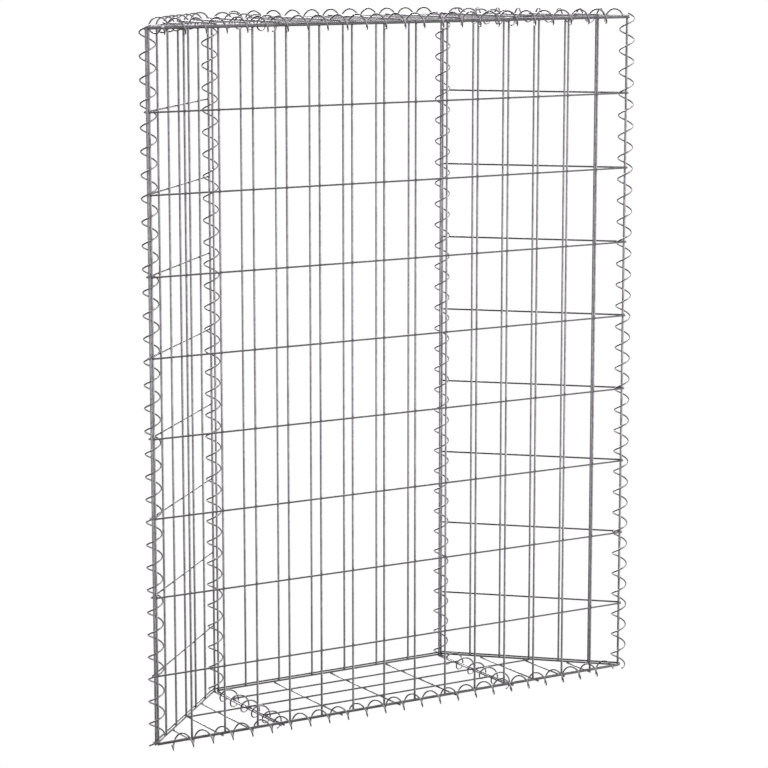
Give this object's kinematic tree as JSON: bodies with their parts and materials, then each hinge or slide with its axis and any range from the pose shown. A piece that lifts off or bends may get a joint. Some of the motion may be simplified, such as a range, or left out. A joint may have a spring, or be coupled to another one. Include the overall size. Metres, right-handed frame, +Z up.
{
  "type": "gabion basket",
  "caption": "Tall closed trapezoid basket of welded wire mesh mats, laced along its edges with spiral wires, made to be filled with stone.",
  "frame": {"origin": "middle of the basket's bounding box, on the ground under its floor spirals", "axes": "+X to the right along the long front mat, +Y to the short back mat, +Z up"},
  "size_m": [0.8266, 0.2268, 1.0291],
  "materials": {
    "mesh_wire": "galvanised, dull grey with a slight sheen",
    "spiral_wire": "galvanised, drawn wire with a slight sheen"
  },
  "bodies": {
    "root": {"front_mat": "mesh_wire", "back_mat": "mesh_wire", "left_side_mat": "mesh_wire", "right_side_mat": "mesh_wire", "floor_centre_mat": "mesh_wire", "floor_left_mat": "mesh_wire", "floor_right_mat": "mesh_wire", "lid_centre_mat": "mesh_wire", "lid_left_mat": "mesh_wire", "lid_right_mat": "mesh_wire", "front_left_corner_spiral": "spiral_wire", "front_right_corner_spiral": "spiral_wire", "back_right_corner_spiral": "spiral_wire", "back_left_corner_spiral": "spiral_wire", "floor_front_spiral": "spiral_wire", "floor_left_joint_spiral": "spiral_wire", "floor_right_joint_spiral": "spiral_wire", "lid_front_spiral": "spiral_wire", "lid_back_spiral": "spiral_wire", "lid_left_spiral": "spiral_wire", "lid_right_spiral": "spiral_wire", "lid_left_joint_spiral": "spiral_wire", "lid_right_joint_spiral": "spiral_wire"}
  },
  "joints": []
}
